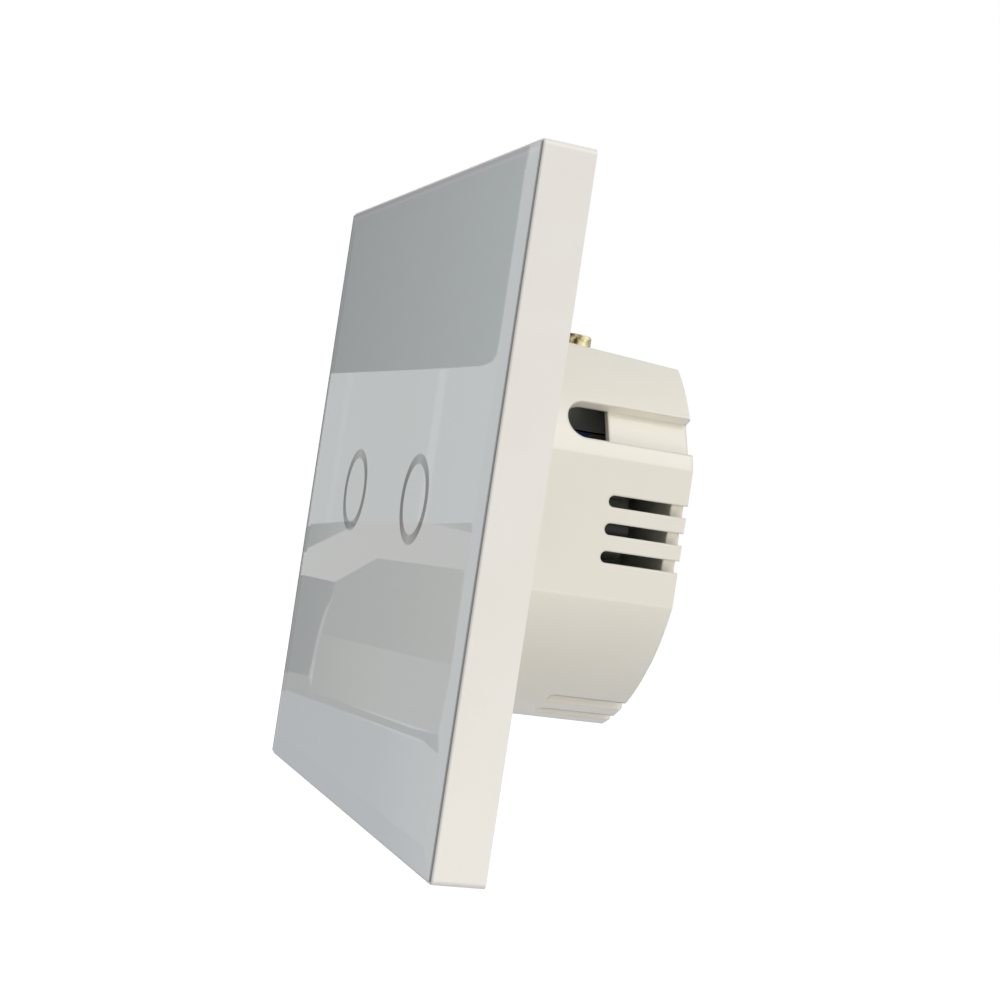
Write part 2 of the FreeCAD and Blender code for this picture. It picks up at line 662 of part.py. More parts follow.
def steel_bracket():
    """Pressed steel plate round the housing, screwed to the wall box."""
    depth = ("-bracket_thickness", "0")
    blank = plate("bracket_blank", FLANGE_SIZE + " - 2 * bracket_inset", depth)
    through = ("-bracket_thickness - 1", "1")
    cuts = [drum("bracket_opening", through, "opening_clearance", TOP_FRONT)]
    cuts += wall_screws("bracket_screw", "box_screw_radius", through)
    for i, across in enumerate(rivet_places()):
        cuts.append(rod("bracket_rivet_%d" % i, "y", "rivet_radius + rivet_clearance", through, across))
        cuts.append(taper("bracket_sink_%d" % i, "y", "rivet_radius + rivet_clearance",
                          "rivet_head + rivet_clearance", ("-rivet_sink", "0"), across))
    return node(cut("bracket", blank, cuts), "steel_bracket")


def bracket_rivets():
    """Four countersunk rivets through bracket and flange."""
    rivets = []
    for i, across in enumerate(rivet_places()):
        shank = rod("rivet_shank_%d" % i, "y", "rivet_radius", (FLANGE_FRONT, "-rivet_sink"), across)
        head = taper("rivet_head_%d" % i, "y", "rivet_radius", "rivet_head", ("-rivet_sink", "0"), across)
        rivets.append(join("rivet_%d" % i, [shank, head]))
    return node(group("rivets", rivets), "bracket_rivets")


# Touch board, its springs, light guides and lights, and the radio.


def board(name, y):
    """Circuit board with the housing's inside outline and four screw holes."""
    blank = drum(name + "_blank", y, "-housing_wall - board_clearance")
    through = (y[0] + " - 1", y[1] + " + 1")
    holes = board_holes(name + "_hole", "screw_radius + screw_clearance", through)
    return node(cut(name + "_cut", blank, holes), name)


def ring_light(side, sign):
    """Clear ring that carries the indicator light to its window."""
    ring = tube("guide_" + side, "y", "ring_outer", "ring_inner", (PAINT_BACK + " + light_gap", TOUCH_FRONT),
                ("%d * %s" % (sign, RING_X), "0"))
    return node(ring, "ring_light_" + side)


def touch_spring(side, sign):
    """Coiled wire that joins the touch board to the coat's middle disc."""
    helix = document.addObject("Part::Helix", "spring_path_" + side)
    free = "(%s) - (%s) - 2 * light_gap - 2 * spring_wire" % (TOUCH_FRONT, PAINT_BACK)
    bind(helix, "Height", free)
    bind(helix, "Pitch", "(%s) / spring_turns" % free)
    bind(helix, "Radius", "spring_radius")
    section = document.addObject("Part::Circle", "spring_section_" + side)
    section.Placement = FreeCAD.Placement(FreeCAD.Vector(), FreeCAD.Rotation(FreeCAD.Vector(1, 0, 0), 90))
    bind(section, "Radius", "spring_wire")
    bind(section, "Placement.Base.x", "spring_radius")
    coil = document.addObject("Part::Sweep", "spring_" + side)
    coil.Sections = [section]
    coil.Spine = (helix, [])
    coil.Solid = True
    coil.Frenet = True
    coil.Placement = FreeCAD.Placement(FreeCAD.Vector(), TURNS["y"])
    place(coil, "%d * %s" % (sign, RING_X), "%s + light_gap + spring_wire" % PAINT_BACK, "0")
    return node(coil, "touch_spring_" + side)


def indicator_leds():
    """Four small lights inside each ring, facing its inner wall."""
    out = "(ring_inner - led_gap - led_width / 2)"
    depth = ("%s - led_height" % TOUCH_FRONT, TOUCH_FRONT)
    lights = []
    for side, sign in SIDES:
        x = "%d * %s" % (sign, RING_X)
        for k in (-1, 1):
            beside = "%s + %d * %s" % (x, k, out)
            lights.append(block("led_side_%s_%d" % (side, k + 1), middle("led_width", beside), depth,
                                middle("led_length")))
            lights.append(block("led_level_%s_%d" % (side, k + 1), middle("led_length", x), depth,
                                middle("led_width", "%d * %s" % (k, out))))
    return node(group("leds", lights), "indicator_leds")


def touch_chip():
    """Chip on the back of the touch board that reads both springs."""
    chip = block("chip", middle("chip_width", "chip_x"), (TOUCH_BACK, TOUCH_BACK + " + chip_height"),
                 middle("chip_width"))
    return node(chip, "touch_chip")


def radio():
    """Wireless module: its own small board with a shield can."""
    y = (TOUCH_BACK, TOUCH_BACK + " + radio_thickness")
    node(block("radio", middle("radio_width", "radio_x"), y, middle("radio_length")), "radio_board")
    can = block("shield", middle("shield_width", "radio_x"), (y[1], y[1] + " + shield_height"),
                middle("shield_length"))
    return node(can, "radio_shield")


def spacers_and_screws():
    """Four spacers between the boards and four screws through the stack."""
    tubes = board_holes("spacer", "spacer_radius", (TOUCH_BACK, POWER_FRONT))
    bores = board_holes("spacer_bore", "screw_radius + screw_clearance", (TOUCH_BACK, POWER_FRONT))
    node(group("spacers", [cut("spacer_%d" % i, a, [b]) for i, (a, b) in enumerate(zip(tubes, bores))]),
         "board_spacers")
    shanks = board_holes("screw", "screw_radius", (TOUCH_FRONT, POWER_BACK + " + screw_bite"))
    heads = board_holes("screw_head", "screw_head", (TOUCH_FRONT + " - screw_head_height", TOUCH_FRONT))
    return node(group("screws", [join("board_screw_%d" % i, list(pair)) for i, pair in
                                 enumerate(zip(shanks, heads))]), "board_screws")


def plug():
    """Pin header on the power board and its socket on the touch board."""
    depth = middle("plug_depth", "-plug_drop")
    meeting = TOUCH_BACK + " + spacer_length / 2"
    header = block("header", middle("plug_width"), (meeting, POWER_FRONT), depth)
    strip = block("socket", middle("plug_width"), (TOUCH_BACK, meeting), depth)
    pins = []
    holes = []
    tip = TOUCH_BACK + " + 2 * pin_clearance"
    for i in range(-2, 3):
        x = "%d * pin_pitch" % i
        pins.append(block("pin_%d" % (i + 2), middle("pin_size", x), (tip, meeting),
                          middle("pin_size", "-plug_drop")))
        grown = "pin_size + 2 * pin_clearance"
        holes.append(block("pin_hole_%d" % (i + 2), middle(grown, x),
                           (TOUCH_BACK + " + pin_clearance", POWER_FRONT), middle(grown, "-plug_drop")))
    node(join("header_with_pins", [header] + pins), "pin_header")
    return node(cut("socket_with_holes", strip, holes), "pin_socket")


# Wire terminals: block, cages, clamp plates and screws.


def terminal_block():
    """Plastic block with a pocket, a screw bore and a wire tunnel for each cage."""
    blank = block("block_blank", ("-" + BLOCK_HALF, BLOCK_HALF),
                  (POWER_BACK, BACK_INSIDE + " - board_clearance"), (BLOCK_BOTTOM, BLOCK_TOP))
    cage_y = middle("cage_length", SCREW_Y)
    cuts = []
    for i, k in enumerate(TERMINALS):
        x = "%g * terminal_pitch" % k
        cuts.append(block("block_pocket_%d" % i, middle("cage_width", x), cage_y, (CAGE_BOTTOM, CAGE_TOP)))
        cuts.append(rod("block_bore_%d" % i, "z", "terminal_head + head_clearance",
                        (CAGE_TOP + " - 0.5", BLOCK_TOP + " + 1"), (x, SCREW_Y)))
        cuts.append(rod("block_tunnel_%d" % i, "y", "wire_tunnel_radius", (SCREW_Y, BACK_INSIDE),
                        (x, WIRE_Z)))
    return node(cut("block_cut", blank, cuts), "terminal_block")


def terminal_cages():
    """Four brass cages, open front and back, with a threaded roof."""
    cages = []
    y = middle("cage_length", SCREW_Y)
    for i, k in enumerate(TERMINALS):
        x = "%g * terminal_pitch" % k
        blank = block("cage_blank_%d" % i, middle("cage_width", x), y, (CAGE_BOTTOM, CAGE_TOP))
        cavity = block("cage_cavity_%d" % i, middle("cage_width - 2 * cage_wall", x),
                       middle("cage_length + 2", SCREW_Y), (CAVITY_FLOOR, CAVITY_TOP))
        thread = rod("cage_thread_%d" % i, "z", "terminal_thread + thread_clearance",
                     (CAVITY_TOP + " - 0.5", CAGE_TOP + " + 1"), (x, SCREW_Y))
        cages.append(cut("cage_%d" % i, blank, [cavity, thread]))
    return node(group("cages", cages), "terminal_cages")


def clamp_plate(number, k):
    """Plate that the screw presses down on the wire."""
    x = "%g * terminal_pitch" % k
    height = (PLATE_TOP + " - clamp_thickness", PLATE_TOP)
    sheet_metal = block("clamp_blank_%d" % number, middle("cage_width - 2 * cage_wall - 2 * clamp_side", x),
                        middle("clamp_length", SCREW_Y), height)
    bore = rod("clamp_bore_%d" % number, "z", "spigot_radius + thread_clearance",
               (height[0] + " - 1", height[1] + " + 1"), (x, SCREW_Y))
    return node(cut("clamp_%d" % number, sheet_metal, [bore]), "clamp_plate_%d" % number)


def terminal_screw(number, k):
    """Turned screw: spigot, shank and bevelled head, with a slot and a cross sunk in it."""
    body = turned("screw_turned_%d" % number, "XZ_Plane", [
        ("0", "0"),
        ("spigot_radius", "0"),
        ("spigot_radius", "clamp_thickness"),
        ("terminal_thread", "clamp_thickness"),
        ("terminal_thread", SHANK_TOP),
        ("terminal_head - terminal_neck", SHANK_TOP),
        ("terminal_head", SHANK_TOP + " + terminal_neck"),
        ("terminal_head", SHANK_TOP + " + terminal_head_height - terminal_edge"),
        ("terminal_head - terminal_edge", SHANK_TOP + " + terminal_head_height"),
        ("0", SHANK_TOP + " + terminal_head_height"),
    ])
    x = "%g * terminal_pitch" % k
    place(body, x, SCREW_Y, PLATE_TOP + " - clamp_thickness")
    top = (HEAD_BOTTOM + " + terminal_head_height - slot_depth", HEAD_BOTTOM + " + terminal_head_height + 1")
    slots = [
        block("screw_slot_%d" % number, middle("slot_width", x), middle("1.3 * terminal_head", SCREW_Y), top),
        block("screw_cross_%d" % number, middle("terminal_head", x), middle("slot_width", SCREW_Y), top),
    ]
    return node(cut("screw_%d" % number, body, slots), "terminal_screw_%d" % number)


# The two relays.


def relay(side, sign):
    """Sealed relay: case, base, coil, yoke with core, armature and contacts."""
    x = "%d * %s" % (sign, RELAY_ACROSS)
    width = middle("relay_width", x)
    height = middle("relay_height", RELAY_MIDDLE)
    depth = (POWER_BACK, POWER_BACK + " + relay_depth")
    inner_x = middle("relay_width - 2 * relay_wall", x)
    inner_z = middle("relay_height - 2 * relay_wall", RELAY_MIDDLE)
    box = block("relay_box_" + side, width, depth, height)
    inside = block("relay_inside_" + side, inner_x, (depth[0] + " - 1", depth[1] + " - relay_wall"), inner_z)
    node(cut("relay_shell_" + side, box, [inside]), "relay_case_" + side)
    fit = " - 2 * relay_wall - 2 * relay_fit"
    node(block("relay_floor_" + side, middle("relay_width" + fit, x), (POWER_BACK, RELAY_FLOOR),
               middle("relay_height" + fit, RELAY_MIDDLE)), "relay_base_" + side)
    yoke_x = middle("yoke_width", x)
    leg_z = ("%s + leg_offset" % CORE_Z, "%s + leg_offset + yoke_thickness" % CORE_Z)
    foot = block("yoke_foot_" + side, yoke_x, (RELAY_FLOOR, YOKE_TOP),
                 (CORE_Z + " - core_radius - foot_overhang", leg_z[1]))
    leg = block("yoke_leg_" + side, yoke_x, (YOKE_TOP, YOKE_TOP + " + leg_height"), leg_z)
    core = rod("yoke_core_" + side, "y", "core_radius", (YOKE_TOP, YOKE_TOP + " + core_height"), (x, CORE_Z))
    node(join("yoke_" + side, [foot, leg, core]), "relay_yoke_" + side)
    coil_y = (YOKE_TOP + " + coil_lift", YOKE_TOP + " + coil_lift + coil_length")
    node(tube("coil_" + side, "y", "coil_outer", "coil_inner", coil_y, (x, CORE_Z)), "relay_coil_" + side)
    armature_y = (ARMATURE_BACK + " - armature_thickness", ARMATURE_BACK)
    armature_z = (CORE_Z + " - armature_reach", leg_z[1])
    node(block("armature_" + side, yoke_x, armature_y, armature_z), "relay_armature_" + side)
    strip = block("strip_" + side, middle("strip_width", x),
                  (ARMATURE_BACK, ARMATURE_BACK + " + strip_thickness"),
                  (CORE_Z + " - contact_reach", leg_z[0]))
    contact_z = CORE_Z + " - contact_offset"
    button_y = (armature_y[0] + " - contact_drop", ARMATURE_BACK)
    button = rod("contact_" + side, "y", "contact_radius", button_y, (x, contact_z))
    node(join("moving_contact_" + side, [strip, button]), "relay_contact_spring_" + side)
    fixed = block("fixed_" + side, middle("fixed_width", x), (RELAY_FLOOR, button_y[0] + " - contact_gap"),
                  middle("fixed_thickness", contact_z))
    node(fixed, "relay_fixed_contact_" + side)


# Power supply parts behind the power board.


def capacitor(name, x, radius, length):
    """Round can that stands on the power board, with a groove near its foot."""
    groove = "(%s - capacitor_groove)" % radius
    body = turned(name + "_can", "XY_Plane", [
        ("0", "0"),
        (radius, "0"),
        (radius, "groove_foot"),
        (groove, "groove_foot + capacitor_groove"),
        (groove, "groove_foot + 2 * capacitor_groove"),
        (radius, "groove_foot + 3 * capacitor_groove"),
        (radius, length + " - capacitor_groove"),
        (groove, length),
        ("0", length),
    ])
    return node(place(body, x, POWER_BACK, "0"), name)


def transformer():
    """Ferrite core with two windows, and the winding on its middle leg."""
    y = (POWER_BACK, POWER_BACK + " + core_depth")
    x = middle("core_across", "core_x")
    z = middle("core_up", "core_z")
    blank = block("ferrite", x, y, z)
    window_y = (y[0] + " + core_end", y[1] + " - core_end")
    windows = []
    for sign in (-1, 1):
        at = "core_x + %d * (core_across / 2 - core_side - core_window / 2)" % sign
        windows.append(block("ferrite_window_%d" % (sign + 1), middle("core_window", at), window_y,
                             middle("core_up + 2", "core_z")))
    node(cut("ferrite_core", blank, windows), "transformer_core")
    outer_x = middle("core_across - 2 * core_side - 2 * winding_gap", "core_x")
    inner_x = middle("core_across - 2 * core_side - 2 * core_window + 2 * winding_gap", "core_x")
    coil_y = (window_y[0] + " + winding_gap", window_y[1] + " - winding_gap")
    outer = block("winding_outer", outer_x, coil_y, middle("core_up + 2 * winding_bulge", "core_z"))
    inner = block("winding_inner", inner_x, (coil_y[0] + " - 1", coil_y[1] + " + 1"),
                  middle("core_up + 2 * winding_gap", "core_z"))
    return node(cut("winding", outer, [inner]), "transformer_winding")


def film_capacitor():
    """Box of cast resin on the board."""
    film = block("film", middle("film_width", "film_x"), (POWER_BACK, POWER_BACK + " + film_depth"),
                 middle("film_height", "film_z"))
    return node(soften("film_soft", film, "back_round", runs_along_y), "film_capacitor")


def leads(name, x_places, z, depth):
    """Two lead wires from the board into a part."""
    return [rod("%s_lead_%d" % (name, i), "y", "lead_radius", (POWER_BACK, depth), (x, z))
            for i, x in enumerate(x_places)]


def fuse():
    """Round resistor that lies over the board on its two leads."""
    middle_y = POWER_BACK + " + fuse_foot + fuse_radius"
    body = rod("fuse_body", "x", "fuse_radius", middle("fuse_length", "film_x"), (middle_y, "fuse_z"))
    ends = ["film_x + %d * (fuse_length / 2 - lead_bite - lead_radius)" % sign for sign in (-1, 1)]
    return node(join("fuse_with_leads", [body] + leads("fuse", ends, "fuse_z", middle_y)), "fuse")


def varistor():
    """Coated disc that stands on edge over the board on its two leads."""
    middle_y = POWER_BACK + " + fuse_foot + varistor_radius"
    disc = rod("varistor_disc", "z", "varistor_radius", middle("varistor_thickness", "varistor_z"),
               ("film_x", middle_y))
    ends = ["film_x + %d * varistor_radius / 2" % sign for sign in (-1, 1)]
    wires = leads("varistor", ends, "varistor_z", middle_y)
    return node(join("varistor_with_leads", [disc] + wires), "varistor")


def front_chips():
    """Bridge rectifier and power chip on the front of the power board."""
    y = (POWER_FRONT + " - rectifier_height", POWER_FRONT)
    z = middle("rectifier_length", "rectifier_z")
    node(block("bridge", middle("rectifier_width", "film_x"), y, z), "rectifier")
    return node(block("driver", middle("power_chip_width", "core_x"), y, z), "power_chip")


glass_panel()
glass_back_paint()
for side, sign in SIDES:
    ring_window(side, sign)
glass_tape()
bezel_frame()
housing_flange()
rear_housing()
steel_bracket()
bracket_rivets()
board("touch_board", (TOUCH_FRONT, TOUCH_BACK))
board("power_board", (POWER_FRONT, POWER_BACK))
for side, sign in SIDES:
    ring_light(side, sign)
    touch_spring(side, sign)
indicator_leds()
touch_chip()
radio()
spacers_and_screws()
plug()
terminal_block()
terminal_cages()
for number, k in enumerate(TERMINALS, start=1):
    clamp_plate(number, k)
    terminal_screw(number, k)
for side, sign in SIDES:
    relay(side, sign)
capacitor("main_capacitor", CAPACITOR_X, "main_capacitor_radius", "main_capacitor_length")
capacitor("output_capacitor", "-" + CAPACITOR_X, "output_capacitor_radius", "output_capacitor_length")
transformer()
film_capacitor()
fuse()
varistor()
front_chips()
document.recompute()

for thing in document.Objects:
    if "Invalid" in thing.State or "Error" in thing.State:
        raise RuntimeError("%s failed: %s" % (thing.Name, thing.State))
os.makedirs("parts", exist_ok=True)
for thing in NODES:
    shape = thing.Shape
    if shape.isNull() or not shape.isValid() or not shape.Solids:
        raise RuntimeError("%s has no sound solid" % thing.Label)
for thing in NODES:
    thing.Shape.exportStep("parts/%s.step" % thing.Label)
    print("%-26s solids %d  volume %.2f" % (thing.Label, len(thing.Shape.Solids), thing.Shape.Volume))
print("sub-parts:", len(NODES))
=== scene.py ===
import bpy
from mathutils import Matrix, Vector

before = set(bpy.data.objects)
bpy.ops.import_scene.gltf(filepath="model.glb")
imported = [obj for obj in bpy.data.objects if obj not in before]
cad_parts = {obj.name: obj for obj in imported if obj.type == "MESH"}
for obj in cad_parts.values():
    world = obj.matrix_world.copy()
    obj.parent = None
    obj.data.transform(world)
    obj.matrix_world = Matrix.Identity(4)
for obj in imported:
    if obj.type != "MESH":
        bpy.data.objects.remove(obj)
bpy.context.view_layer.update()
scene = bpy.context.scene


# View of the photograph
# The switch is seen from its right, a little in front of the glass and level with its middle.
# The camera leans 8.7 degrees, so the plate's upright edges run down to the left.

eye = Vector((0.23923, -0.07391, 0.00078))
right = Vector((0.326371, 0.933185, 0.150490))
up = Vector((-0.046496, -0.143166, 0.988606))
back = right.cross(up)

camera_data = bpy.data.cameras.new("photo_view")
camera_data.sensor_width = 36.0
camera_data.lens = 65.886
camera_data.clip_start = 0.01
camera_data.clip_end = 30.0
camera = bpy.data.objects.new("photo_view", camera_data)
scene.collection.objects.link(camera)
camera.matrix_world = Matrix.Translation(eye) @ Matrix((right, up, back)).transposed().to_4x4()
scene.camera = camera
scene.view_settings.view_transform = "Standard"


# Studio
# A pale room seen white, a soft lamp high at the right that gives the sheen, a smaller, warmer and
# nearer one low at the right, and a plain floor far below, where the switch's soft shadow falls out of view.


def linear(code):
    """Linear colour of an sRGB hex value: c / 12.92 when small, else ((c + 0.055) / 1.055) to the 2.4."""
    parts = [int(code[i:i + 2], 16) / 255 for i in (1, 3, 5)]
    return tuple(c / 12.92 if c <= 0.04045 else ((c + 0.055) / 1.055) ** 2.4 for c in parts) + (1.0,)


def add_node(tree, kind, values=None, links=None, **settings):
    """Adds a node with its own settings, the numbers on its sockets and the outputs that feed them."""
    made = tree.nodes.new(kind)
    for name, value in settings.items():
        setattr(made, name, value)
    for socket, value in (values or {}).items():
        made.inputs[socket].default_value = value
    for socket, source in (links or {}).items():
        tree.links.new(source, made.inputs[socket])
    return made


def seen_white(tree):
    """1 for rays from the camera, from gloss and through glass, which see the studio white."""
    path = add_node(tree, "ShaderNodeLightPath")
    gloss = add_node(tree, "ShaderNodeMath", operation="MAXIMUM", links={
        0: path.outputs["Is Camera Ray"], 1: path.outputs["Is Glossy Ray"]})
    return add_node(tree, "ShaderNodeMath", operation="MAXIMUM", links={
        0: gloss.outputs[0], 1: path.outputs["Is Transmission Ray"]}).outputs[0]


room = bpy.data.worlds.new("pale_room")
room.use_nodes = True
scene.world = room
room_tree = room.node_tree
room_light = room_tree.nodes["Background"]
room_light.inputs["Color"].default_value = linear("#FFFFFF")
room_level = add_node(room_tree, "ShaderNodeMapRange", {"To Min": 0.635, "To Max": 1.0},
                      {"Value": seen_white(room_tree)})
room_tree.links.new(room_level.outputs["Result"], room_light.inputs["Strength"])

for name, tint, size, power, spot in (("soft_key", (1.0, 1.0, 0.98), 0.4, 2.15, (0.64, 0.35, 0.69)),
                                      ("soft_fill", (1.0, 0.95, 0.79), 0.36, 1.58, (0.70, 0.17, -0.29))):
    lamp_data = bpy.data.lights.new(name, "AREA")
    lamp_data.shape = "DISK"
    lamp_data.size = size
    lamp_data.energy = power
    lamp_data.color = tint
    lamp = bpy.data.objects.new(name, lamp_data)
    lamp.location = spot
    lamp.rotation_euler = lamp.location.to_track_quat("Z", "Y").to_euler()
    scene.collection.objects.link(lamp)

floor_finish = bpy.data.materials.new("floor_paper_white")
floor_finish.use_nodes = True
floor_tree = floor_finish.node_tree
floor_shader = floor_tree.nodes["Principled BSDF"]
floor_shader.inputs["Base Color"].default_value = linear("#A2A6B3")
floor_shader.inputs["Roughness"].default_value = 0.9
floor_shader.inputs["Emission Color"].default_value = linear("#FFFFFF")
floor_glow = add_node(floor_tree, "ShaderNodeMapRange", {"To Min": 0.0, "To Max": 0.82},
                      {"Value": seen_white(floor_tree)})
floor_tree.links.new(floor_glow.outputs["Result"], floor_shader.inputs["Emission Strength"])
floor_mesh = bpy.data.meshes.new("floor")
floor_mesh.from_pydata([(-6, -6, -0.5), (6, -6, -0.5), (6, 6, -0.5), (-6, 6, -0.5)], [], [(0, 1, 2, 3)])
floor_mesh.materials.append(floor_finish)
floor = bpy.data.objects.new("floor", floor_mesh)
scene.collection.objects.link(floor)


# Studio boards mirrored in the glass
# Painted boards stand 0.6 m to the left of the switch, where only gloss sees them. They are what
# the glass mirrors: a pale wall with a dark screen above it, an open box on a table, and a dark post
# beside the glass's left edge.


def board_picture(name, depth, shades, corners):
    """A flat board square to X at that depth; corners are (y, z), and shades are (y, sRGB hex) across it."""
    mesh = bpy.data.meshes.new(name)
    mesh.from_pydata([(depth, y, z) for y, z in corners], [], [tuple(range(len(corners)))])
    finish = bpy.data.materials.new(name + "_paint")
    finish.use_nodes = True
    tree = finish.node_tree
    tree.nodes.clear()
    place = add_node(tree, "ShaderNodeTexCoord").outputs["Object"]
    along = add_node(tree, "ShaderNodeSeparateXYZ", links={0: place}).outputs["Y"]
    first, last = shades[0][0], shades[-1][0]
    share = add_node(tree, "ShaderNodeMapRange", {"From Min": first, "From Max": last}, {"Value": along})
    shade = ramp(tree, share.outputs["Result"], [((y - first) / (last - first), code) for y, code in shades])
    glow = add_node(tree, "ShaderNodeEmission", {"Strength": 1.0}, {"Color": shade})
    add_node(tree, "ShaderNodeOutputMaterial", links={"Surface": glow.outputs[0]})
    mesh.materials.append(finish)
    made = bpy.data.objects.new(name, mesh)
    scene.collection.objects.link(made)
    for kind in ("camera", "diffuse", "transmission", "shadow", "volume_scatter"):
        setattr(made, "visible_" + kind, False)


def ramp(tree, factor, stops):
    """A colour ramp whose stops are (place, sRGB hex)."""
    made = add_node(tree, "ShaderNodeValToRGB", links={"Fac": factor})
    while len(made.color_ramp.elements) < len(stops):
        made.color_ramp.elements.new(1.0)
    for element, (place, code) in zip(made.color_ramp.elements, stops):
        element.position = place
        element.color = linear(code)
    return made.outputs["Color"]


board_picture("mirrored_wall", -0.6030, [(-0.13, "#DDDDDD"), (-0.18, "#E4E4E3"), (-0.22, "#F8F6F7")], [
    (0.6, -0.8), (-0.9, -0.8), (-0.9, 0.9), (0.6, 0.9)])
board_picture("mirrored_post_left", -0.6025, [(-0.13, "#E8E8E8"), (-0.18, "#E8E8E8")], [
    (-0.1492, -0.0217), (-0.1518, -0.0217), (-0.1518, 0.09), (-0.1492, 0.09)])
board_picture("mirrored_post_right", -0.6025, [(-0.18, "#FFFFFF"), (-0.22, "#FFFFFF")], [
    (-0.1937, -0.0125), (-0.1982, -0.0125), (-0.1972, 0.09), (-0.1937, 0.09)])
board_picture("mirrored_screen", -0.6020, [(-0.13, "#2A2C2D"), (-0.18, "#585C5F"), (-0.22, "#7C8288")], [
    (0.30, 0.0495), (-0.1398, 0.0503), (-0.1734, 0.0574), (-0.1928, 0.0616), (-0.2129, 0.0662),
    (-0.2164, 0.0677), (-0.2191, 0.0696), (-0.2207, 0.0731), (-0.2210, 0.0803), (-0.2209, 0.1640),
    (-0.2110, 0.1760), (-0.2105, 0.2050), (0.30, 0.2050)])
board_picture("mirrored_floor", -0.6020, [(-0.13, "#DDD9D6"), (-0.18, "#E4DCD8"), (-0.22, "#ECE4E0")], [
    (0.3, -0.034), (-0.1400, -0.0339), (-0.1603, -0.0168), (-0.2011, -0.0125), (-0.2223, -0.0139),
    (-0.2400, -0.0139), (-0.2400, -0.0500), (0.3, -0.06)])
board_picture("mirrored_rug_left", -0.6015, [(-0.139, "#6A6664"), (-0.164, "#AAACAC")], [
    (0.3, -0.0339), (-0.1400, -0.0339), (-0.1636, -0.0184), (-0.1614, -0.0168), (-0.1389, -0.0216),
    (0.3, -0.0216)])
board_picture("mirrored_rug_right", -0.6015, [(-0.20, "#CFCCC8"), (-0.22, "#ACAAA6")], [
    (-0.2010, -0.0125), (-0.2208, -0.0091), (-0.2221, -0.0141)])
board_picture("mirrored_table", -0.6015, [
    (-0.14, "#BCBDC4"), (-0.19, "#C7C9D2"), (-0.213, "#E6E5EC"), (-0.235, "#F6F4F5"),
], [
    (0.3, -0.0947), (-0.1388, -0.0947), (-0.1487, -0.0989), (-0.1719, -0.1068), (-0.2012, -0.1150),
    (-0.2220, -0.1200), (-0.2600, -0.1200), (-0.2600, -0.6), (0.3, -0.6)])
board_picture("mirrored_cabinet", -0.6010, [(-0.139, "#5A5352"), (-0.158, "#6B6565")], [
    (0.3, -0.0449), (-0.1400, -0.0449), (-0.1576, -0.0464), (-0.1630, -0.0449), (-0.1581, -0.0520),
    (-0.1537, -0.0714), (-0.1520, -0.0931), (-0.1401, -0.0913), (0.3, -0.0913)])
board_picture("mirrored_box_inside", -0.6005, [
    (-0.155, "#98908C"), (-0.19, "#A89E99"), (-0.222, "#C0B7B0"),
], [
    (-0.1576, -0.0464), (-0.1763, -0.0325), (-0.2205, -0.0323), (-0.2217, -0.0788), (-0.1537, -0.0714),
    (-0.1560, -0.0611)])
board_picture("mirrored_box_front", -0.6000, [
    (-0.153, "#A39C97"), (-0.17, "#B8B1AC"), (-0.19, "#C8C2BD"), (-0.222, "#CBC8C6"),
], [
    (-0.1537, -0.0714), (-0.2217, -0.0788), (-0.2197, -0.1126), (-0.1535, -0.0992)])
board_picture("mirrored_box_shadow", -0.5995, [
    (-0.139, "#9C9894"), (-0.19, "#A19C98"), (-0.222, "#A8A8AA"),
], [
    (0.3, -0.0905), (-0.1401, -0.0905), (-0.1525, -0.0920), (-0.1535, -0.0985), (-0.2067, -0.1113),
    (-0.2197, -0.1126), (-0.2212, -0.1221), (-0.2114, -0.1160), (-0.1852, -0.1097), (-0.1414, -0.0993),
    (0.3, -0.0975)])
board_picture("mirrored_box_edge", -0.5990, [(-0.15, "#C4C0BD"), (-0.16, "#C4C0BD")], [
    (-0.1581, -0.0515), (-0.1558, -0.0600), (-0.1545, -0.0700), (-0.1522, -0.0930), (-0.1514, -0.0930),
    (-0.1530, -0.0700), (-0.1546, -0.0600)])
board_picture("mirrored_dark_post", -0.5985, [(-0.0930, "#101111"), (-0.0966, "#101111")], [
    (-0.0930, -0.0558), (-0.0966, -0.0558), (-0.0966, 0.0757), (-0.0930, 0.0757)])


# Glass panel
# A sheet of 3 mm float glass with ground edges, painted white on its back, so from the front it
# is a pale green-white mirror. The ring windows left in the paint show as two thin grey rings.


def new_finish(name, **sockets):
    """A material with a Principled shader; gives it, its tree, its shader and the object's coordinates."""
    made = bpy.data.materials.new(name)
    made.use_nodes = True
    shader = made.node_tree.nodes["Principled BSDF"]
    for socket, value in sockets.items():
        shader.inputs[socket.replace("_", " ")].default_value = value
    place = add_node(made.node_tree, "ShaderNodeTexCoord").outputs["Object"]
    return made, made.node_tree, shader, place


def dress(finish, *names):
    """Gives CAD nodes their finish through the material slots of their objects."""
    for name in names:
        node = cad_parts[name]
        if not node.material_slots:
            node.data.materials.append(finish)
        for held in node.material_slots:
            held.link = "OBJECT"
            held.material = finish


# Back-painted float glass: polished, so it mirrors the studio sharply, over an even white coat
# that the green-tinged glass cools a little. IOR 1.52.
polished = 0.015
glass, tree, shader, place = new_finish("glass_back_painted", Roughness=polished, IOR=1.52)
across = add_node(tree, "ShaderNodeSeparateXYZ", links={0: place})
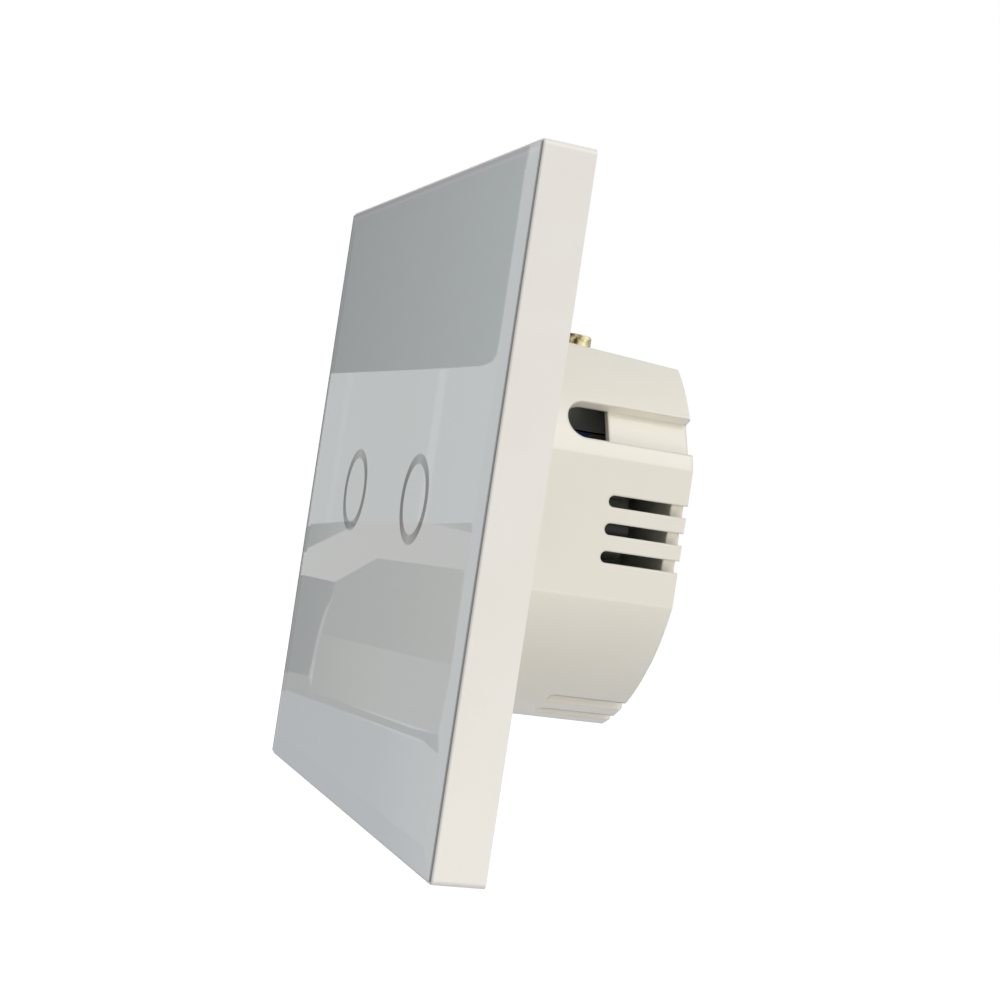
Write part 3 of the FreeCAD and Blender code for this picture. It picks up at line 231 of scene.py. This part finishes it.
# Each ring lies 15 mm from the middle, and is drawn 0.8 mm to the left, as it shows through the glass.
half_spacing, seen_shift = 0.015, -0.0008
side = add_node(tree, "ShaderNodeMath", operation="SIGN", links={0: across.outputs["X"]})
centre = add_node(tree, "ShaderNodeMath", {1: half_spacing, 2: seen_shift}, {0: side.outputs[0]},
                  operation="MULTIPLY_ADD")
from_centre = add_node(tree, "ShaderNodeMath", operation="SUBTRACT", links={
    0: across.outputs["X"], 1: centre.outputs[0]})
spoke = add_node(tree, "ShaderNodeCombineXYZ", links={"X": from_centre.outputs[0], "Y": across.outputs["Z"]})
radius = add_node(tree, "ShaderNodeVectorMath", operation="LENGTH", links={0: spoke.outputs[0]})
ring_place = add_node(tree, "ShaderNodeMath", {1: 100.0}, {0: radius.outputs["Value"]}, operation="MULTIPLY")
sideways = add_node(tree, "ShaderNodeMath", operation="DIVIDE", links={
    0: from_centre.outputs[0], 1: radius.outputs["Value"]})
turn = add_node(tree, "ShaderNodeMath", operation="ABSOLUTE", links={0: sideways.outputs[0]})
# Radii in hundredths of a metre: the band runs from 4.6 to 5.9 mm. Its left and right stretches
# are dark grey and its top and bottom pale grey, as the pocket behind the glass is shaded.
mask = ramp(tree, ring_place.outputs[0], [
    (0.000, "#000000"), (0.448, "#000000"), (0.472, "#FFFFFF"), (0.578, "#FFFFFF"), (0.604, "#000000")])
shade = ramp(tree, turn.outputs[0], [
    (0.0, "#B9BEBC"), (0.45, "#9A9F9D"), (0.8, "#5C605E"), (1.0, "#303332")])
# Heights in tenths of a metre: along the top a whiter strip, a painted highlight of the glass's edge, runs
# from
# 41.75 to 42.05 mm, and the edge above it is a warmer, greyer white, which is painted shade.
upwards = add_node(tree, "ShaderNodeMath", {1: 10.0}, {0: across.outputs["Z"]}, operation="MULTIPLY")
coat = ramp(tree, upwards.outputs[0], [
    (0.4160, "#F3F8F3"), (0.4175, "#FFFFFF"), (0.4205, "#FFFFFF"), (0.4220, "#EEEDEC")])
band = add_node(tree, "ShaderNodeMix", links={0: mask, 6: coat, 7: shade}, data_type="RGBA").outputs[2]
# The ground edges are grey: ground glass, painted darker as painted shade. The right one, outside 42.4 mm, is
# matt.
# The left one is a line outside 42.2 mm, painted darker still as a painted reflection of the dark post, which
# its gloss also mirrors.
edge_right = add_node(tree, "ShaderNodeMapRange", {"From Min": 0.04240, "From Max": 0.04245},
                      {"Value": across.outputs["X"]}).outputs["Result"]
edge_left = add_node(tree, "ShaderNodeMapRange", {"From Min": -0.04220, "From Max": -0.04230},
                     {"Value": across.outputs["X"]}).outputs["Result"]
for edge, grey in ((edge_right, "#A6A9A7"), (edge_left, "#4A4C4B")):
    band = add_node(tree, "ShaderNodeMix", {7: linear(grey)}, {0: edge, 6: band}, data_type="RGBA").outputs[2]
polish = add_node(tree, "ShaderNodeMapRange", {"To Min": polished, "To Max": 0.9}, {"Value": edge_right})
tree.links.new(polish.outputs["Result"], shader.inputs["Roughness"])
tree.links.new(band, shader.inputs["Base Color"])
dress(glass, "glass_panel", "glass_back_paint")

# Grey translucent ink printed in the ring windows of the coat: matt, with a faint screen grain.
ink, tree, shader, place = new_finish("ring_window_ink", Roughness=0.6)
grain = add_node(tree, "ShaderNodeTexNoise", {"Scale": 4000.0, "Detail": 2.0}, {"Vector": place})
greys = ramp(tree, grain.outputs["Fac"], [(0.3, "#8C908E"), (0.7, "#A0A4A2")])
tree.links.new(greys, shader.inputs["Base Color"])
dress(ink, "ring_window_left", "ring_window_right")

# Double-sided acrylic foam tape: white-grey and matt, with closed cells of about 0.3 mm.
foam, tree, shader, place = new_finish("foam_tape", Roughness=0.85)
cells = add_node(tree, "ShaderNodeTexVoronoi", {"Scale": 3000.0}, {"Vector": place})
whites = ramp(tree, cells.outputs["Distance"], [(0.0, "#D9D8D2"), (0.8, "#BDBBB4")])
tree.links.new(whites, shader.inputs["Base Color"])
dress(foam, "glass_tape")


# Front frame
# The square frame that carries the glass, injection moulded in white plastic with a fine satin
# surface. It clips on to the housing's flange and comes off with the glass.


def moulded(name, base, shade, roughness, grain_mm=0.12, depth_mm=0.004, ior=1.53, round_mm=0.0):
    """Moulded plastic: fine spark-eroded grain, a slow drift of tone over 12 mm and rounded corners."""
    finish, tree, shader, place = new_finish(name, Roughness=roughness, IOR=ior)
    drift = add_node(tree, "ShaderNodeTexNoise", {"Scale": 80.0, "Detail": 3.0}, {"Vector": place})
    tone = ramp(tree, drift.outputs["Fac"], [(0.35, shade), (0.65, base)])
    tree.links.new(tone, shader.inputs["Base Color"])
    grain = add_node(tree, "ShaderNodeTexNoise", {"Scale": 1000.0 / grain_mm, "Detail": 2.0},
                     {"Vector": place})
    bump = add_node(tree, "ShaderNodeBump", {"Strength": 0.35, "Distance": depth_mm / 1000.0},
                    {"Height": grain.outputs["Fac"]})
    if round_mm:
        corner = add_node(tree, "ShaderNodeBevel", {"Radius": round_mm / 1000.0}, samples=6)
        tree.links.new(corner.outputs["Normal"], bump.inputs["Normal"])
    tree.links.new(bump.outputs["Normal"], shader.inputs["Normal"])
    shine = add_node(tree, "ShaderNodeMapRange", {"To Min": roughness - 0.04, "To Max": roughness + 0.04},
                     {"Value": grain.outputs["Fac"]})
    tree.links.new(shine.outputs["Result"], shader.inputs["Roughness"])
    return finish


# White polycarbonate, satin: warm white with a soft sheen.
dress(moulded("polycarbonate_white_satin", "#F1EEE9", "#EFEBE5", 0.42), "bezel_frame")


# Rear housing and flange
# The round cup that sits in the wall box, moulded in a warmer white plastic, and the flange that
# it carries behind the frame. Cooling slots are cut through its side and along its bottom.

# Flame-retardant ABS, satin: cream white, a little yellower than the frame.
cream = moulded("abs_cream_satin", "#EEEAE0", "#ECE8DD", 0.36, round_mm=0.5)
dress(cream, "rear_housing", "housing_flange")


# Steel bracket and rivets
# A pressed plate of zinc-plated steel behind the flange, which takes the wall screws, held by
# four rivets. Its plating shows fine rolling lines and a mottled sheen.


def plated(name, base, shade, roughness, line_mm=0.25, mottle_mm=6.0):
    """Rolled and plated metal: lines along X and a mottle of tone, each at a real spacing."""
    finish, tree, shader, place = new_finish(name, Metallic=1.0, Roughness=roughness)
    mottle = add_node(tree, "ShaderNodeTexNoise", {"Scale": 1000.0 / mottle_mm, "Detail": 4.0},
                      {"Vector": place})
    tone = ramp(tree, mottle.outputs["Fac"], [(0.35, shade), (0.65, base)])
    tree.links.new(tone, shader.inputs["Base Color"])
    along = add_node(tree, "ShaderNodeMapping", {"Scale": (0.04, 1.0, 1.0)}, {"Vector": place})
    lines = add_node(tree, "ShaderNodeTexNoise", {"Scale": 1000.0 / line_mm, "Detail": 3.0},
                     {"Vector": along.outputs[0]})
    shine = add_node(tree, "ShaderNodeMapRange", {"To Min": roughness - 0.08, "To Max": roughness + 0.1},
                     {"Value": lines.outputs["Fac"]})
    tree.links.new(shine.outputs["Result"], shader.inputs["Roughness"])
    bump = add_node(tree, "ShaderNodeBump", {"Strength": 0.2, "Distance": 0.00001},
                    {"Height": lines.outputs["Fac"]})
    tree.links.new(bump.outputs["Normal"], shader.inputs["Normal"])
    return finish


# Zinc-plated steel: pale blue-grey, half bright.
zinc = plated("zinc_plated_steel", "#C4C5C2", "#AEB0AE", 0.34)
dress(zinc, "steel_bracket", "bracket_rivets", "board_screws")


# Touch board
# A circuit board behind the glass with the touch chip, the two ring light guides, touch springs
# and small lamps. Its white solder mask throws the ring light forward.


def board(name, mask, track, pitch_mm):
    """Solder mask over copper: straight tracks at a real pitch show as slightly lighter, raised lines."""
    finish, tree, shader, place = new_finish(name, Roughness=0.32, IOR=1.5)
    tracks = add_node(tree, "ShaderNodeTexVoronoi", {"Scale": 1000.0 / pitch_mm, "Randomness": 0.85},
                      {"Vector": place}, feature="DISTANCE_TO_EDGE", distance="EUCLIDEAN")
    edge = add_node(tree, "ShaderNodeMapRange", {"From Min": 0.04, "From Max": 0.09},
                    {"Value": tracks.outputs["Distance"]})
    tone = ramp(tree, edge.outputs["Result"], [(0.0, track), (1.0, mask)])
    tree.links.new(tone, shader.inputs["Base Color"])
    bump = add_node(tree, "ShaderNodeBump", {"Strength": 0.4, "Distance": 0.00003},
                    {"Height": edge.outputs["Result"]}, invert=True)
    tree.links.new(bump.outputs["Normal"], shader.inputs["Normal"])
    return finish


# White solder mask: bright, half gloss, tracks only just seen.
dress(board("solder_mask_white", "#E4E6E2", "#D3D6D1", 2.6), "touch_board")
# Blue solder mask on the radio board.
dress(board("solder_mask_blue", "#22406E", "#3A5C90", 1.6), "radio_board")

# Clear acrylic with a fine frosted surface, which spreads the ring light.
acrylic, tree, shader, place = new_finish("acrylic_frosted", Roughness=0.3, IOR=1.49)
frost = add_node(tree, "ShaderNodeTexNoise", {"Scale": 5000.0, "Detail": 2.0}, {"Vector": place})
frosted = ramp(tree, frost.outputs["Fac"], [(0.3, "#DCE4E4"), (0.7, "#EAF0F0")])
tree.links.new(frosted, shader.inputs["Base Color"])
dress(acrylic, "ring_light_left", "ring_light_right")

# Nickel-plated spring wire: bright and smooth, with faint drawing lines.
nickel = plated("nickel_plated_wire", "#D6D3CC", "#C2BFB8", 0.22, 0.1)
dress(nickel, "touch_spring_left", "touch_spring_right")

# Clear epoxy lamp bodies over a yellow phosphor.
dress(moulded("lamp_epoxy", "#F2EFCB", "#E8DFA4", 0.2, 0.3, 0.001, 1.54), "indicator_leds")

# Black moulded epoxy of the chips and connectors: matt, with a fine grain.
black = moulded("chip_epoxy_black", "#3B3B3C", "#343435", 0.5, 0.06)
dress(black, "touch_chip", "rectifier", "power_chip", "pin_header", "pin_socket")

# Tinned sheet over the radio: brighter and smoother than zinc.
dress(plated("tinned_sheet", "#DADAD6", "#CFCFCB", 0.25, 0.15), "radio_shield")


# Power board and its parts
# The green board in the cup, held on nylon spacers, with the mains filter, fuse and supply.
# Through the slots they are seen only as dark and grey shapes.

dress(board("solder_mask_green", "#1F6A3F", "#2E8452", 2.4), "power_board")
# Natural nylon: off-white and waxy.
dress(moulded("nylon_natural", "#EDEBE0", "#E4E1D3", 0.38), "board_spacers")


def print_and_painted_shade(finish, ink, *tests):
    """Ink over a finish where all the tests hold, for print and for painted shade; each is (axis, operation,
    numbers on sockets 1 and 2).
    """
    tree = finish.node_tree
    shader = tree.nodes["Principled BSDF"]
    place = add_node(tree, "ShaderNodeTexCoord").outputs["Object"]
    spot = add_node(tree, "ShaderNodeSeparateXYZ", links={0: place})
    plain = shader.inputs["Base Color"].links[0].from_socket
    held = None
    for axis, operation, numbers in tests:
        test = add_node(tree, "ShaderNodeMath", dict(zip((1, 2), numbers)), {0: spot.outputs[axis]},
                        operation=operation).outputs[0]
        if held is not None:
            test = add_node(tree, "ShaderNodeMath", operation="MULTIPLY", links={0: held, 1: test}).outputs[0]
        held = test
    mixed = add_node(tree, "ShaderNodeMix", {7: linear(ink)}, {0: held, 6: plain}, data_type="RGBA")
    tree.links.new(mixed.outputs[2], shader.inputs["Base Color"])
    return finish


# Shrunk PVC sleeve of the electrolytic capacitors: dark grey and half glossy. The large one is
# painted black for 4 mm across its middle, painted shade where the middle slot of the housing looks on to it.
dress(moulded("pvc_sleeve_grey", "#5E6060", "#565858", 0.45, 0.5, 0.002), "output_capacitor")
dress(print_and_painted_shade(moulded("pvc_sleeve_painted_shade", "#767878", "#6E7070", 0.5, 0.5, 0.002), "#0E0D0D",
              ("Z", "COMPARE", (0.0, 0.002))), "main_capacitor")

# Sintered ferrite: charcoal, dry and slightly rough.
dress(moulded("ferrite_sintered", "#626265", "#565659", 0.65, 0.2, 0.01), "transformer_core")

# Polyester tape round the winding: amber-yellow film whose laps show every 1.5 mm.
full_turn = 6.283
tape, tree, shader, place = new_finish("polyester_tape", Roughness=0.25, IOR=1.57)
lap_mm = 1.5
laps = add_node(tree, "ShaderNodeTexWave", {"Scale": 1000.0 / lap_mm / full_turn, "Distortion": 1.0},
                {"Vector": place}, bands_direction="Z")
ambers = ramp(tree, laps.outputs["Fac"], [(0.0, "#D9B93A"), (0.9, "#E8CC55"), (1.0, "#B89A2C")])
tree.links.new(ambers, shader.inputs["Base Color"])
dress(tape, "transformer_winding")

# Yellow moulded box of the film capacitor, green lacquer on the fuse, dipped blue epoxy on the varistor.
dress(moulded("film_box_yellow", "#EED06A", "#E6C558", 0.45), "film_capacitor")
dress(moulded("fuse_lacquer_green", "#97AF97", "#8BA48B", 0.35, 0.3, 0.006), "fuse")
dress(moulded("varistor_epoxy_blue", "#4B81BC", "#3F73AE", 0.3, 0.6, 0.01), "varistor")


# Relays
# Two sealed relays with grey moulded covers, opened here as separate parts: base, coil, yoke,
# hinged armature and its contact spring.

# Grey moulded polyester covers, half glossy, with a blue print at the upper front corner.
cover = print_and_painted_shade(moulded("relay_cover_grey", "#7E8080", "#747676", 0.3, 0.2, 0.003), "#3A6FB4",
                ("Z", "GREATER_THAN", (0.0062,)), ("Y", "LESS_THAN", (0.015,)))
dress(cover, "relay_case_left", "relay_case_right", "relay_base_left", "relay_base_right")
dress(zinc, "relay_yoke_left", "relay_yoke_right", "relay_armature_left", "relay_armature_right")

# Enamelled copper wire, wound: its turns of 0.1 mm are drawn 0.3 mm apart, so that they show.
turn_mm = 0.3
wire, tree, shader, place = new_finish("enamelled_copper_wire", Metallic=0.9, Roughness=0.32)
turns = add_node(tree, "ShaderNodeTexWave", {"Scale": 1000.0 / turn_mm / full_turn, "Distortion": 0.4},
                 {"Vector": place}, bands_direction="Z", wave_profile="SIN")
coppers = ramp(tree, turns.outputs["Fac"], [(0.0, "#8A4A24"), (0.6, "#C8763F")])
tree.links.new(coppers, shader.inputs["Base Color"])
round_wire = add_node(tree, "ShaderNodeBump", {"Strength": 0.6, "Distance": 0.0001},
                      {"Height": turns.outputs["Fac"]})
tree.links.new(round_wire.outputs["Normal"], shader.inputs["Normal"])
dress(wire, "relay_coil_left", "relay_coil_right")

# Rolled phosphor bronze of the contact springs: warm and bright, with rolling lines.
bronze = plated("phosphor_bronze_rolled", "#DCB389", "#CDA277", 0.28, 0.12)
dress(bronze, "relay_contact_spring_left", "relay_contact_spring_right",
      "relay_fixed_contact_left", "relay_fixed_contact_right")


# Terminals
# A grey block at the top with four brass screws. Each screw turns in its brass cage and draws
# a zinc-plated clamp plate on to the wire.

# Grey polyamide of the terminal block, satin.
dress(moulded("terminal_polyamide_grey", "#A2A29F", "#989895", 0.45), "terminal_block")

# Turned brass: bright pale yellow, with fine tool lines and dark brown patches of 1.4 mm, a painted
# reflection of dark surroundings in the polished heads.
brass = plated("brass_turned", "#FFF4C0", "#4C380E", 0.16, 0.1, 1.4)
dress(brass, "terminal_cages", "terminal_screw_1", "terminal_screw_2", "terminal_screw_3", "terminal_screw_4")
dress(zinc, "clamp_plate_1", "clamp_plate_2", "clamp_plate_3", "clamp_plate_4")
